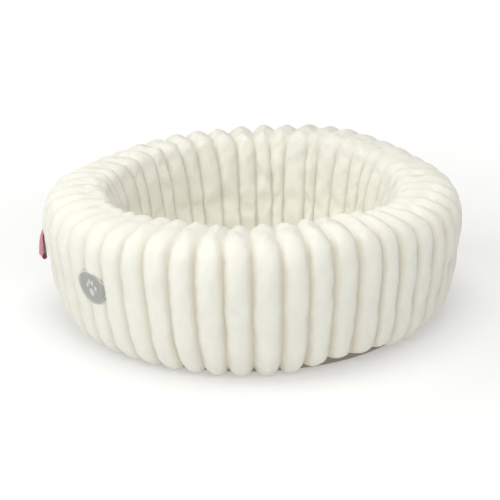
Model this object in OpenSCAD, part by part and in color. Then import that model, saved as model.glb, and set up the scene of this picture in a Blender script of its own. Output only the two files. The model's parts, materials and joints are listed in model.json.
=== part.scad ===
// Round pet cushion bed: a stuffed plush ring wall on a zipped non-slip base,
// with a loose seat cushion in the middle, an oval label and a ribbon loop tag.
// The origin is the centre of the underside. +Z is up and -Y is the front.

/* [Ring wall] */
// Outside diameter of the bed
bed_d = 500; // [440:5:560]
// Height of the bed
bed_h = 174; // [160:2:190]
// Thickness of the stuffed wall from its inner face to its outer face
wall_w = 91; // [84:1:96]
// How far the rim leans outward over the foot of the wall
wall_lean = 26; // [18:1:30]
// Roundness of the rim: 1 is an ellipse, smaller is squarer
rim_roundness = 0.65; // [0.6:0.01:0.8]
// Roundness of the wall's foot: 1 is an ellipse, smaller is squarer
foot_roundness = 0.5; // [0.4:0.01:0.6]
// Thickness of the plush cover
plush_t = 3; // [2:0.5:4]
// Thickness of the inner bag that holds the fibre filling
liner_t = 0.8; // [0.6:0.1:1.2]

/* [Base] */
// Height of the flat base under the wall
base_h = 9; // [9:0.5:12]
// Radius of the base cloth's turned-up edge
base_r = 198; // [192:1:202]
// Thickness of the non-slip base cloth
base_cloth_t = 1.2; // [1:0.1:1.6]
// Thickness of the cloth that lines the floor of the well
floor_lining_t = 0.8; // [0.6:0.1:1.2]

/* [Seat cushion] */
// Radius of the loose seat cushion
cushion_r = 138; // [125:1:139]
// Height of the cushion's seam above the bed's floor
cushion_seam_h = 18; // [14:1:22]
// Rise of the cushion's crown above its seam
cushion_rise = 28; // [20:1:34]
// Radius of the cushion's piping
piping_r = 2.4; // [1.5:0.1:3]

/* [Zip] */
// Arc that the zip covers round the back of the base
zip_arc = 150; // [90:5:170]
// Width of the closed zip chain
chain_w = 3.4; // [3:0.1:4]
// Length of the slider along the chain
slider_len = 9; // [7:0.5:10]
// Length of the zip pull
pull_len = 22; // [16:1:26]
// Radius of the pin that the pull turns on
pull_pin_r = 0.7; // [0.6:0.05:0.8]

/* [Trim] */
// Direction of the oval label, counted anticlockwise from +X
label_azimuth = 220; // [200:1:250]
// Height of the label's centre
label_z = 92; // [85:1:105]
// Length of the oval label
label_len = 56; // [40:1:58]
// Height of the oval label
label_h = 40; // [24:1:42]
// Height of the ribbon loop tag's turning line
tag_z = 121; // [115:1:130]
// Width of the tag's ribbon
ribbon_w = 18; // [12:1:22]
// Drop of the tag from its turning line to the centre of its bottom fold
tag_drop = 40; // [30:1:46]

/* [Hidden] */

$fn = 96;
gap = 0.2;               // clearance between neighbouring layers
section_steps = 96;      // straight stretches round the wall's section

// Wall section: a leaning superellipse, cut flat where it stands on the base.
section_low_z = 2;       // lowest point of the uncut section
half_h = (bed_h - section_low_z) / 2;
mid_z = section_low_z + half_h;
outer_share = 0.66;      // part of the wall's width that is outside its spine
outer_half = wall_w * outer_share;
inner_half = wall_w - outer_half;
lean_half = wall_lean / 2;
lean_bulge = 4.13;       // how much the lean adds to the widest radius
spine_r = bed_d / 2 - outer_half - lean_bulge;
foot_z = base_h + gap;   // underside of the wall

// Base layers
floor_lining_r = 162;
lining_low_z = base_h - floor_lining_t;
foam_low_z = base_cloth_t + gap;
foam_r = base_r - 2 * base_cloth_t - gap;

// Zip: two tapes one above the other in the turned-up edge, coils outside them
zip_centre = 90;         // the zip is centred on +Y
tape_t = 0.6;
tape_low_z = 1.4;
tape_high_z = base_h - gap;
chain_z = (tape_low_z + tape_high_z) / 2;
tape_r = base_r + gap;
coil_in_r = tape_r + tape_t + gap;
coil_t = 1.4;
coil_out_r = coil_in_r + coil_t;
stop_arc = 0.6;
stop_gap = 0.1;
zip_start = zip_centre - zip_arc / 2;
zip_end = zip_centre + zip_arc / 2;
chain_margin = 2;        // degrees of tape past the end of the chain
binding_margin = 3;      // degrees from the end of the chain to the binding
binding_t = 1;
binding_h = 2.6;

// Slider: an outer plate with two side flanges and two ears round the pin
slider_arc = slider_len / coil_out_r * 180 / PI;
slider_w = chain_w + 1.8;
plate_in_r = coil_out_r + gap;
plate_t = 1.2;
plate_out_r = plate_in_r + plate_t;
flange_t = (slider_w - chain_w) / 2 - gap;
parking_arc = 1.2;       // the slider rests this far inside the chain's end
slider_start = zip_start + parking_arc;
slider_mid = slider_start + slider_arc / 2;
eye_r = 1.4;
pin_r_pos = plate_out_r + eye_r + 0.3;
ear_t = 0.9;
eye_h = 2.4;
bore_clearance = 0.08;
ear_r = 1.2;
pull_t = 1;
pull_h = 5.6;
neck_len = 3;
shoulder_len = 4;
blade_chamfer = 1;

// Seat cushion
cushion_low_z = base_h + 0.3;
seam_z = cushion_low_z + cushion_seam_h;
cushion_cover_t = 2;
filling_inset = cushion_cover_t + piping_r + 2 * gap;
crown_roundness = 0.62;
base_roundness = 0.3;
crown_flatness = 0.9;
cushion_steps = 24;

// Ribbon loop tag
ribbon_t = 0.8;
tag_pivot_r = ribbon_t + 0.1;
tag_x = -(bed_d / 2 + 1.3);
tag_fold_r = 5.2;
tag_lean_x = -3.4;
tag_slit_r = 0.15;
tag_slit_drop = 9;
tab_h = 10;
tab_x = tag_x + 0.5;
tack_r = 0.35;

// Label and its line of stitches
label_stand = 0.3;
label_t = 1;
label_tilt = -3;
stitch_inset = 2.2;
stitch_w = 0.7;
stitch_t = 0.4;
stitch_stand = label_stand + label_t + 0.05;
patch_arc = 24;

// v to the power p, with the sign of v kept
function signed_power(v, p) = sign(v) * pow(abs(v), p);

// Point of the wall's section at angle t, moved inward by inset
function section_point(t, inset) =
    let (side = (cos(t) > 0 ? outer_half : inner_half) - inset)
    let (roundness = sin(t) > 0 ? rim_roundness : foot_roundness)
    let (dz = (half_h - inset) * signed_power(sin(t), roundness))
    [spine_r + lean_half * dz / half_h + side * signed_power(cos(t), roundness),
     mid_z + dz];

function section_outline(inset) =
    [for (i = [0:section_steps - 1]) section_point(i * 360 / section_steps, inset)];

// Half of a cushion's section, from its rim (t = 0) to its axis (t = 90)
function cushion_outline(r, rise, roundness) =
    concat([for (i = [0:cushion_steps - 1])
                let (t = 90 * i / cushion_steps)
                [r * pow(cos(t), roundness), rise * pow(sin(t), crown_flatness)]],
           [[0, rise], [0, 0]]);

// Outline round a small circle at the origin and a larger one below it
function teardrop(top_r, low_r, drop) =
    let (slope = asin((low_r - top_r) / drop))
    concat([for (a = [-slope:15:180 + slope]) [top_r * cos(a), top_r * sin(a)]],
           [for (i = [0:16])
                let (a = 180 + slope + (180 - 2 * slope) * i / 16)
                [low_r * cos(a), -drop + low_r * sin(a)]]);

// Half of the pull's blade, mirrored: a neck, a sloping shoulder and cut corners
function blade_edge(len, side) =
    [[0, side * eye_h / 2], [shoulder_len, side * pull_h / 2],
     [len - blade_chamfer, side * pull_h / 2],
     [len, side * (pull_h / 2 - blade_chamfer)]];

function reversed(list) = [for (i = [len(list) - 1:-1:0]) list[i]];

function blade_outline(len) = concat(blade_edge(len, -1), reversed(blade_edge(len, 1)));

function ellipse_outline(rx, ry) =
    [for (a = [0:7.5:359]) [rx * cos(a), ry * sin(a)]];

// Band round the Z axis between two radii and two heights, over part of a turn
module band(r_in, r_out, z_low, z_high, start = 0, sweep = 360)
    rotate([0, 0, start])
        rotate_extrude(angle = sweep)
            translate([r_in, z_low])
                square([r_out - r_in, z_high - z_low]);

module wall_section(inset)
    difference() {
        polygon(section_outline(inset));
        translate([0, -foot_z])
            square([bed_d, 2 * foot_z + inset]);
    }

// Half of the cushion above its seam, or the lower half when down is true
module cushion_half(inset, rise, roundness, down = false)
    translate([0, 0, seam_z])
        mirror([0, 0, down ? 1 : 0])
            rotate_extrude()
                polygon(cushion_outline(cushion_r - inset, rise - inset, roundness));

// Patch of the child's outline, laid on the outside of the wall between two heights
module wall_patch(low, high)
    intersection() {
        rotate([0, 0, label_azimuth - patch_arc / 2])
            rotate_extrude(angle = patch_arc)
                difference() {
                    polygon(section_outline(-high));
                    polygon(section_outline(-low));
                }
        rotate([0, 0, label_azimuth])
            translate([spine_r, 0, label_z])
                rotate([90, 0, 90])
                    rotate([0, 0, label_tilt])
                        linear_extrude(height = bed_d / 2)
                            children();
    }

// Plush sleeve round the wall, open underneath where it is sewn to the base
module wall_cover()
    color("ivory")
        rotate_extrude()
            difference() {
                wall_section(0);
                polygon(section_outline(plush_t));
                translate([floor_lining_r + plush_t, 0])
                    square([base_r - floor_lining_r - 2 * plush_t, foot_z + plush_t]);
            }

// Thin inner bag
module wall_liner()
    color("whitesmoke")
        rotate_extrude()
            difference() {
                wall_section(plush_t + gap);
                wall_section(plush_t + gap + liner_t);
            }

module wall_filling()
    color("white")
        rotate_extrude()
            wall_section(plush_t + liner_t + 2 * gap);

// Cloth that lines the floor of the well
module floor_lining()
    color("linen")
        translate([0, 0, lining_low_z])
            cylinder(r = floor_lining_r, h = floor_lining_t);

module base_foam()
    color("khaki")
        translate([0, 0, foam_low_z])
            cylinder(r = foam_r, h = lining_low_z - gap - foam_low_z);

// Non-slip cloth with its edge turned up, lower behind the zip
module base_cloth()
    color("tan")
        difference() {
            rotate_extrude()
                polygon([[0, 0], [base_r, 0], [base_r, tape_high_z],
                         [base_r - base_cloth_t, tape_high_z],
                         [base_r - base_cloth_t, base_cloth_t], [0, base_cloth_t]]);
            band(base_r - 2 * base_cloth_t, base_r + 1, chain_z, base_h, zip_start, zip_arc);
        }

// Binding over the seam between the wall's cover and the base cloth
module seam_binding()
    color("rosybrown")
        band(tape_r, tape_r + binding_t, tape_high_z - binding_h, tape_high_z,
             zip_end + binding_margin, 360 - zip_arc - 2 * binding_margin);

module zip_tape(z_low, z_high)
    color("gainsboro")
        band(tape_r, tape_r + tape_t, z_low, z_high,
             zip_start - chain_margin, zip_arc + 2 * chain_margin);

module zip_coil(z_low, z_high)
    color("darkgray")
        band(coil_in_r, coil_out_r, z_low, z_high, zip_start, zip_arc);

module zip_tape_lower()
    zip_tape(tape_low_z, chain_z - gap / 2);

module zip_tape_upper()
    zip_tape(chain_z + gap / 2, tape_high_z);

module zip_coil_lower()
    zip_coil(chain_z - chain_w / 2, chain_z - gap / 2);

module zip_coil_upper()
    zip_coil(chain_z + gap / 2, chain_z + chain_w / 2);

// Crimped stops just past both ends of the chain
module zip_end_stops()
    color("silver")
        for (start = [zip_start - stop_gap - stop_arc, zip_end + stop_gap])
            band(coil_in_r, coil_out_r, chain_z - chain_w / 2, chain_z + chain_w / 2,
                 start, stop_arc);

// Slider on the chain, with the upright pin that the pull turns on
module zip_slider()
    color("silver") {
        band(plate_in_r, plate_out_r, chain_z - slider_w / 2, chain_z + slider_w / 2,
             slider_start, slider_arc);
        for (side = [-1, 1])
            band(coil_in_r, plate_in_r + plate_t / 2,
                 chain_z + side * (slider_w - flange_t) / 2 - flange_t / 2,
                 chain_z + side * (slider_w - flange_t) / 2 + flange_t / 2,
                 slider_start, slider_arc);
        rotate([0, 0, slider_mid])
            for (z = [chain_z - eye_h / 2 - gap - ear_t, chain_z + eye_h / 2 + gap]) {
                translate([pin_r_pos, 0, z])
                    cylinder(r = ear_r, h = ear_t);
                translate([plate_in_r + plate_t / 2, -ear_r, z])
                    cube([pin_r_pos - plate_in_r - plate_t / 2, 2 * ear_r, ear_t]);
            }
        rotate([0, 0, slider_mid])
            translate([pin_r_pos, 0, chain_z - eye_h / 2 - gap - ear_t / 2])
                cylinder(r = pull_pin_r, h = eye_h + 2 * gap + ear_t);
    }

// Pull: an eye round the pin and a flat blade
module zip_pull()
    color("silver")
        rotate([0, 0, slider_mid])
            translate([pin_r_pos, 0, chain_z])
                difference() {
                    union() {
                        translate([0, 0, -eye_h / 2])
                            cylinder(r = eye_r, h = eye_h);
                        translate([-pull_t / 2, 0, -eye_h / 2])
                            cube([pull_t, neck_len + 0.5, eye_h]);
                        translate([-pull_t / 2, neck_len, 0])
                            rotate([90, 0, 90])
                                linear_extrude(height = pull_t)
                                    polygon(blade_outline(pull_len - neck_len));
                    }
                    translate([0, 0, -eye_h])
                        cylinder(r = pull_pin_r + bore_clearance, h = 2 * eye_h);
                }

module cushion_top_cover()
    color("ivory")
        difference() {
            cushion_half(0, cushion_rise, crown_roundness);
            cushion_half(cushion_cover_t, cushion_rise, crown_roundness);
            seam_clearance(0, piping_r);
        }

module cushion_bottom_cover()
    color("tan")
        difference() {
            cushion_half(0, cushion_seam_h, base_roundness, true);
            cushion_half(cushion_cover_t, cushion_seam_h, base_roundness, true);
            seam_clearance(-piping_r, piping_r);
        }

// Room for the piping between the two covers
module seam_clearance(z_low, height)
    band(cushion_r - 2 * piping_r - gap, cushion_r + 1,
         seam_z + z_low - gap, seam_z + z_low + height + gap);

module cushion_filling()
    color("white") {
        cushion_half(filling_inset, cushion_rise, crown_roundness);
        cushion_half(filling_inset, cushion_seam_h, base_roundness, true);
    }

module cushion_piping()
    color("wheat")
        translate([0, 0, seam_z])
            rotate_extrude()
                translate([cushion_r - piping_r, 0])
                    circle(r = piping_r - gap);

module oval_label()
    color("darkgray")
        wall_patch(label_stand, label_stand + label_t)
            polygon(ellipse_outline(label_len / 2, label_h / 2));

module oval_label_stitches()
    color("gainsboro")
        wall_patch(stitch_stand, stitch_stand + stitch_t)
            difference() {
                polygon(ellipse_outline(label_len / 2 - stitch_inset,
                                        label_h / 2 - stitch_inset));
                polygon(ellipse_outline(label_len / 2 - stitch_inset - stitch_w,
                                        label_h / 2 - stitch_inset - stitch_w));
            }

// Ribbon folded into a loop, hanging from its sewn end
module side_tag()
    color("palevioletred")
        translate([tag_x, ribbon_w / 2, tag_z])
            rotate([90, 0, 0])
                linear_extrude(height = ribbon_w)
                    rotate(atan(tag_lean_x / tag_drop)) {
                        circle(r = tag_pivot_r);
                        difference() {
                            polygon(teardrop(ribbon_t, tag_fold_r, tag_drop));
                            translate([0, -tag_slit_drop])
                                polygon(teardrop(tag_slit_r, tag_fold_r - ribbon_t,
                                                 tag_drop - tag_slit_drop));
                        }
                    }

// The ribbon's sewn end, flat against the wall
module side_tag_tab()
    color("rosybrown")
        translate([tab_x - ribbon_t / 2, -ribbon_w / 2, tag_z + tag_pivot_r + gap])
            cube([ribbon_t, ribbon_w, tab_h]);

// Two rows of tacking across the ribbon's sewn end
module side_tag_bartack()
    color("gainsboro")
        for (drop = [2, 4.5])
            translate([tab_x - ribbon_t / 2 - tack_r - 0.05, ribbon_w / 2,
                       tag_z + tag_pivot_r + gap + tab_h - drop])
                rotate([90, 0, 0])
                    cylinder(r = tack_r, h = ribbon_w);

wall_cover();
wall_liner();
wall_filling();
floor_lining();
base_foam();
base_cloth();
seam_binding();
zip_tape_lower();
zip_tape_upper();
zip_coil_lower();
zip_coil_upper();
zip_end_stops();
zip_slider();
zip_pull();
cushion_top_cover();
cushion_bottom_cover();
cushion_filling();
cushion_piping();
oval_label();
oval_label_stitches();
side_tag();
side_tag_tab();
side_tag_bartack();
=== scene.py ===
"""Looks of the round pet cushion bed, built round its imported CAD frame.

Lengths are in metres and angles in radians, unless a name ends in _DEG. Angles round
the ring are counted anticlockwise from +X, and -Y is the front.
"""
import json
import math

import bmesh
import bpy
import numpy as np
from mathutils import Matrix, Vector


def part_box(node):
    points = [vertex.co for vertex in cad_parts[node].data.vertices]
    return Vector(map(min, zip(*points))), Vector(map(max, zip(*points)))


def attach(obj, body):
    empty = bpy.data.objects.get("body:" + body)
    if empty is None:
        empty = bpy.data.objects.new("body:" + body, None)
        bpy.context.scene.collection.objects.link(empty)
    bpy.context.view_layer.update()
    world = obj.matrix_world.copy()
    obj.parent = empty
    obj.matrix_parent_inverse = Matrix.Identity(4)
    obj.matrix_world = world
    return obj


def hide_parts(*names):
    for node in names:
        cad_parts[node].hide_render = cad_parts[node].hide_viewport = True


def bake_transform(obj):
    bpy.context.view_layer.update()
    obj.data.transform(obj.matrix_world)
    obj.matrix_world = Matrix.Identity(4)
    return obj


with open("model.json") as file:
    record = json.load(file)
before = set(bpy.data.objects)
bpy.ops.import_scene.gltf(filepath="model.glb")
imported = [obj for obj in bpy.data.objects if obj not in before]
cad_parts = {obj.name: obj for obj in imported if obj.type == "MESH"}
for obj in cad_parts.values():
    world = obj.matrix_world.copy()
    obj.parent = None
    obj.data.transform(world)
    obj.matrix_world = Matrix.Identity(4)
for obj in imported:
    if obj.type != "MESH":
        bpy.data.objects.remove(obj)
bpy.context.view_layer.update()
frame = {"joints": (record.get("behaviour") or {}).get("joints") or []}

MM = 0.001
TAU = 2 * math.pi

# ---- places from the frame
cover_low, cover_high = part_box("wall_cover")
base_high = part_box("base_cloth")[1]
lining_low, lining_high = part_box("floor_lining")
binding_low, binding_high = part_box("seam_binding")
tape_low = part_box("zip_tape_lower")[0]
top_tape_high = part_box("zip_tape_upper")[1]
coil_low, coil_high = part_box("zip_coil_lower")
top_coil_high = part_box("zip_coil_upper")[1]
cushion_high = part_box("cushion_top_cover")[1]
cushion_foot_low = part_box("cushion_bottom_cover")[0]
piping_low, piping_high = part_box("cushion_piping")
label_low, label_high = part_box("oval_label")
tag_low, tag_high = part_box("side_tag")
tab_low, tab_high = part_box("side_tag_tab")
tack_low, tack_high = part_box("side_tag_bartack")
JOINTS = {joint["name"]: joint for joint in frame["joints"]}

RING_R = cover_high.y  # widest radius of the wall
RIM_Z = cover_high.z  # mean height of the rim
FOOT_Z = cover_low.z  # where the wall stands on the base
BASE_R = base_high.y
BASE_TOP_Z = base_high.z

# ---- the wall's section
SECTION_LOW_Z = 2 * MM
OUTER_HALF = 60 * MM
INNER_HALF = 31 * MM
LEAN = 13 * MM
LEAN_BULGE = 4.13 * MM
CREST_SHIFT = 6 * MM  # how far the rim's crest leans back over the well
RIM_ROUNDNESS = 0.65
FOOT_ROUNDNESS = 0.5
HALF_H = (RIM_Z - SECTION_LOW_Z) / 2
MID_Z = SECTION_LOW_Z + HALF_H
SPINE_R = RING_R - OUTER_HALF - LEAN_BULGE

# The stuffed ring is a little out of round: (waves per turn, size, peak in degrees)
PLAN_WAVES = ((2, 0.015, 143), (4, 0.016, -17))
HEIGHT_WAVES = ((0, 0.012, 180), (1, 0.0065, 189), (2, 0.029, 156), (3, 0.013, 151),
                (6, 0.011, 0))

# ---- the wales of the plush
WALES = 48
WALE_STOPS = (0.0, 0.07, 0.2, 0.36, 0.5, 0.64, 0.8, 0.93)  # columns across one wale
SECTION_ROWS = 64  # rows round the section before subdivision
WALE_SPREAD = 0.01  # the wales are closer at the front by this share
FIRST_WALE_DEG = 269.7
# Places round the ring, each as (middle, half width) in degrees
STRETCHED_LEFT = (142, 26)  # the cloth is drawn flat over the rim
STRETCHED_RIGHT = (38, 24)
# FAINT_WALES: shallower wales with less painted groove shade, on the front left where the left lamp
# falls.
FAINT_WALES = (208, 26)
LONG_FRONT = (262, 38)  # the wales hang lower over the base
LONGEST_WALE = (275, 7)
RAISED_FROM_DEG = (282, 291)  # where the wale ends lift off the base, and where they come down
RAISED_TO_DEG = (321, 311)
OVER_ZIP_DEG = (92, 84)  # from the zip's middle: the wales don't hang over the chain
GROW_Z = 60 * MM  # the unevenness reaches its full size at this height
CLEAR = 12 * MM  # added to a limit on the plush's radius where nothing presses on it
TAB_REACH = 7 * MM  # how far from the tab the plush is drawn in

# ---- trim
LABEL_AZIMUTH_DEG = 220.3
LABEL_TILT_DEG = -3
LABEL_HALF_W = 28 * MM
LABEL_Z = (label_low.z + label_high.z) / 2
LABEL_HALF_H = (label_high.z - label_low.z) / 2
LABEL_T = 0.9 * MM
LABEL_SINK = 1.6 * MM  # how deep the label lies below the tops of the wales
LABEL_DIP = 4.5 * MM  # how far its front end dips into the next groove
LABEL_END = 19 * MM  # distance across the label at which the dip starts
GROOVE_TURN = math.radians(FIRST_WALE_DEG) - 6 * TAU / WALES
LABEL_GROOVE = GROOVE_TURN - WALE_SPREAD * math.cos(GROOVE_TURN)
LABEL_THREAD_R = 0.34 * MM
BORDER_WRAPS = 230
BORDER_LEAN = 0.012  # turn of each wrap from one point to the next
BORDER_SECTION = ((0.915, 0.75), (0.95, 1.25), (0.99, 1.0), (1.015, 0.35))  # (share, lift)
LABEL_STITCHES = 46
STITCH_SHARE = 0.84  # where the line of stitches runs, from centre to edge
# Centre and half sizes of each spot of the paw print, as shares of the label's half sizes
PAW_SPOTS = ((0.0, -0.24, 0.2, 0.22), (-0.3, 0.1, 0.085, 0.15), (-0.11, 0.36, 0.085, 0.16),
             (0.11, 0.36, 0.085, 0.16), (0.3, 0.1, 0.085, 0.15))
PAW_PITCH = 0.55 * MM
TAG_Z = JOINTS["side_tag_swing"]["pos_m"][2]
TAG_W = tag_high.y - tag_low.y
ZIP_ARC_DEG = 150
ZIP_CENTRE_DEG = 90
ZIP_Z = (tape_low.z + top_tape_high.z) / 2
PIN_X, PIN_Y, _ = JOINTS["zip_pull_flip"]["pos_m"]
PIN_R = math.hypot(PIN_X, PIN_Y)
SLIDER_ANGLE = math.atan2(PIN_Y, PIN_X)


# ---- small helpers
def smoothstep(low, high, x):
    t = np.clip((x - low) / (high - low), 0, 1)
    return t * t * (3 - 2 * t)


def signed_power(v, p):
    return np.sign(v) * np.abs(v) ** p


def wrap(angle):
    return (angle + np.pi) % TAU - np.pi


def waves(phi, table):
    """Sum of the waves in table at angle phi."""
    total = np.zeros_like(phi)
    for count, size, peak in table:
        total += size * np.cos(count * phi - math.radians(peak))
    return total


def hump(angle, place):
    """1 in the middle of a (middle, half width) place, fading to 0 on both sides."""
    return np.exp(-((angle - place[0]) / place[1]) ** 2)


def ripple(points, wavelength, seed, count=24):
    """Smooth random field of about unit size over points, from sine waves in all directions."""
    rng = np.random.default_rng(seed)
    axes = rng.normal(size=(count, 3))
    axes /= np.linalg.norm(axes, axis=1, keepdims=True)
    axes *= TAU / (wavelength * rng.uniform(0.7, 1.5, (count, 1)))
    return np.sin(points @ axes.T + rng.uniform(0, TAU, count)).sum(1) * math.sqrt(2 / count)


def coords_of(obj):
    flat = np.empty(len(obj.data.vertices) * 3)
    obj.data.vertices.foreach_get("co", flat)
    return flat.reshape(-1, 3)


def move_to(obj, coords):
    obj.data.vertices.foreach_set("co", np.asarray(coords, float).ravel())
    obj.data.update()


def ring_points(r, phi, z):
    """Points at radius r, angle phi and height z."""
    return np.stack([r * np.cos(phi), r * np.sin(phi), z], -1)


def polar(points):
    """Radius and angle of each point about Z."""
    return np.hypot(points[:, 0], points[:, 1]), np.arctan2(points[:, 1], points[:, 0])


def full_turn(count):
    return TAU * np.arange(count) / count


def new_object(name, data):
    obj = bpy.data.objects.new(name, data)
    bpy.context.scene.collection.objects.link(obj)
    return obj


def smooth(mesh):
    mesh.polygons.foreach_set("use_smooth", np.ones(len(mesh.polygons), bool))


def make_mesh(name, verts, faces):
    mesh = bpy.data.meshes.new(name)
    mesh.from_pydata(np.asarray(verts, float).tolist(), [],
                     [tuple(int(i) for i in face) for face in faces])
    mesh.update()
    smooth(mesh)
    return new_object(name, mesh)


def weld(obj, distance=1e-6, turn_out=True):
    """Merge vertices that coincide and, if turn_out, face every side outward."""
    work = bmesh.new()
    work.from_mesh(obj.data)
    if distance:
        bmesh.ops.remove_doubles(work, verts=work.verts, dist=distance)
    if turn_out:
        bmesh.ops.recalc_face_normals(work, faces=work.faces)
    work.to_mesh(obj.data)
    work.free()
    return obj


def from_bmesh(name, work):
    obj = new_object(name, bpy.data.meshes.new(name))
    work.to_mesh(obj.data)
    work.free()
    smooth(obj.data)
    return obj


def join(name, parts):
    """One object from several, which are removed."""
    work = bmesh.new()
    for part in parts:
        work.from_mesh(part.data)
        bpy.data.objects.remove(part)
    return from_bmesh(name, work)


def grid_faces(rows, cols, close_rows=False, close_cols=False):
    """Quads of a grid whose vertices run row by row."""
    r = np.arange(rows if close_rows else rows - 1)
    c = np.arange(cols if close_cols else cols - 1)
    rr, cc = np.meshgrid(r, c, indexing="ij")
    r2, c2 = (rr + 1) % rows, (cc + 1) % cols
    return np.stack([rr * cols + cc, rr * cols + c2, r2 * cols + c2, r2 * cols + cc],
                    -1).reshape(-1, 4)


def tube_faces(rows, cols, close_rows):
    """Quads of a tube of closed rings, with its two ends filled if it is open."""
    faces = grid_faces(rows, cols, close_rows, True).tolist()
    if not close_rows:
        faces += [list(range(cols)), list(range((rows - 1) * cols, rows * cols))[::-1]]
    return faces


def slab_faces(rings, steps, half):
    """Two layers of rings, half vertices apart, joined round their outer edge."""
    quads = grid_faces(rings, steps, False, True)
    this = (rings - 1) * steps + np.arange(steps)
    after = (rings - 1) * steps + (np.arange(steps) + 1) % steps
    edge = np.stack([this, after, after + half, this + half], -1)
    return np.r_[quads[:, ::-1], quads + half, edge].tolist()


def put_attribute(obj, name, values):
    layer = obj.data.attributes.new(name, "FLOAT", "POINT")
    layer.data.foreach_set("value", np.asarray(values, np.float32).ravel())


def subdivide(obj):
    """Apply one level of subdivision to obj's mesh."""
    modifier = obj.modifiers.new("subdivision", "SUBSURF")
    modifier.levels = modifier.render_levels = 1
    view = obj.evaluated_get(bpy.context.evaluated_depsgraph_get())
    mesh = bpy.data.meshes.new_from_object(view)
    obj.modifiers.remove(modifier)
    obj.data = mesh
    smooth(mesh)


def inflate(obj, pinned, pressure, slack, cap, frames=20):
    """Swell obj as stuffed cloth, hold the pinned vertices, and cap how far each one moves."""
    rest = coords_of(obj)
    group = obj.vertex_groups.new(name="sewn")
    for i in np.nonzero(pinned)[0]:
        group.add([int(i)], 1.0, "REPLACE")
    cloth = obj.modifiers.new("cloth", "CLOTH")
    setting = cloth.settings
    setting.vertex_group_mass = "sewn"
    setting.quality = 4
    setting.mass = 0.3
    setting.tension_stiffness = 12
    setting.compression_stiffness = 12
    setting.shear_stiffness = 5
    setting.bending_stiffness = 0.6
    setting.shrink_min = -slack
    setting.use_pressure = True
    setting.uniform_pressure_force = pressure
    setting.effector_weights.gravity = 0
    cloth.point_cache.frame_start = 1
    cloth.point_cache.frame_end = frames
    scene = bpy.context.scene
    for step in range(1, frames + 1):
        scene.frame_set(step)
    view = obj.evaluated_get(bpy.context.evaluated_depsgraph_get())
    swollen = np.empty(rest.size)
    view.data.vertices.foreach_get("co", swollen)
    move = swollen.reshape(-1, 3) - rest
    length = np.linalg.norm(move, axis=1, keepdims=True)
    obj.modifiers.remove(cloth)
    obj.vertex_groups.remove(group)
    scene.frame_set(1)
    move_to(obj, rest + move * np.minimum(1, cap / np.maximum(length, 1e-9)))


def revolve(name, outline, steps, start_deg=0.0, sweep_deg=360.0):
    """Sweep a closed outline of (radius, height) points about Z, with flat ends if it is open."""
    whole = sweep_deg >= 360
    count = steps if whole else steps + 1
    phi = np.radians(start_deg + sweep_deg * np.arange(count) / steps)
    outline = np.asarray(outline)
    r, z = outline[:, 0], outline[:, 1]
    verts = ring_points(r, phi[:, None], z + 0 * phi[:, None]).reshape(-1, 3)
    return weld(make_mesh(name, verts, tube_faces(count, len(outline), whole)))


def rounded_box(r_in, r_out, z_low, z_high, radius, steps=4):
    """Closed outline of a (radius, height) box with rounded corners."""
    points = []
    for r, z, turn in ((r_out, z_high, 0), (r_in, z_high, 90), (r_in, z_low, 180),
                       (r_out, z_low, 270)):
        cr = r - radius * (1 if r == r_out else -1)
        cz = z - radius * (1 if z == z_high else -1)
        for i in range(steps + 1):
            a = math.radians(turn + 90 * i / steps)
            points.append((cr + radius * math.cos(a), cz + radius * math.sin(a)))
    return points


def tube(name, path, radius, sides):
    """Thread or wire along path, narrower at both ends."""
    path = np.asarray(path, float)
    along = np.r_[path[1:], path[-1:]] - np.r_[path[:1], path[:-1]]
    along /= np.linalg.norm(along, axis=1, keepdims=True)
    guide = np.where(np.abs(along[:, 2:3]) > 0.9, [[1.0, 0, 0]], [[0, 0, 1.0]])
    side = np.cross(along, guide)
    side /= np.linalg.norm(side, axis=1, keepdims=True)
    up = np.cross(side, along)
    scale = np.ones(len(path))
    scale[[0, -1]] = 0.35
    turn = full_turn(sides)
    rings = (path[:, None] + radius * scale[:, None, None] *
             (np.cos(turn)[None, :, None] * side[:, None] +
              np.sin(turn)[None, :, None] * up[:, None]))
    return weld(make_mesh(name, rings.reshape(-1, 3), tube_faces(len(path), sides, False)), 1e-8)


# ---- the ring wall
def section(theta, inset):
    """Radius and height of the wall's section at angle theta, inset from its surface."""
    s, c = np.sin(theta), np.cos(theta)
    side = np.where(c > 0, OUTER_HALF, INNER_HALF) - inset
    power = np.where(s > 0, RIM_ROUNDNESS, FOOT_ROUNDNESS)
    dz = (HALF_H - inset) * signed_power(s, power)
    spine = SPINE_R + LEAN * dz / HALF_H - CREST_SHIFT * np.clip(s, 0, 1) ** 6
    return spine + side * signed_power(c, power), MID_Z + dz


def out_of_round(r, z, phi):
    """The wall's radius and height with its unevenness added."""
    grow = smoothstep(0, GROW_Z, z)
    outer = smoothstep(SPINE_R - INNER_HALF, SPINE_R + OUTER_HALF / 2, r)
    share = (0.3 + 0.7 * outer) * (0.3 + 0.7 * grow)
    return (r * (1 + waves(phi, PLAN_WAVES) * share),
            FOOT_Z + (z - FOOT_Z) * (1 + waves(phi, HEIGHT_WAVES) * grow))


def outer_face(phi, z, inset):
    """Radius of the wall's outer face at angle phi and height z."""
    flat = FOOT_Z + (z - FOOT_Z) / (1 + waves(phi, HEIGHT_WAVES) * smoothstep(0, GROW_Z, z))
    dz = flat - MID_Z
    power = np.where(dz > 0, RIM_ROUNDNESS, FOOT_ROUNDNESS)
    sine = np.clip(np.abs(dz) / (HALF_H - inset), 0, 1) ** (1 / power)
    spine = SPINE_R + LEAN * dz / HALF_H - CREST_SHIFT * np.where(dz > 0, sine, 0) ** 6
    r = spine + (OUTER_HALF - inset) * np.sqrt(1 - sine ** 2) ** power
    return out_of_round(r, flat, phi)[0]


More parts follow.
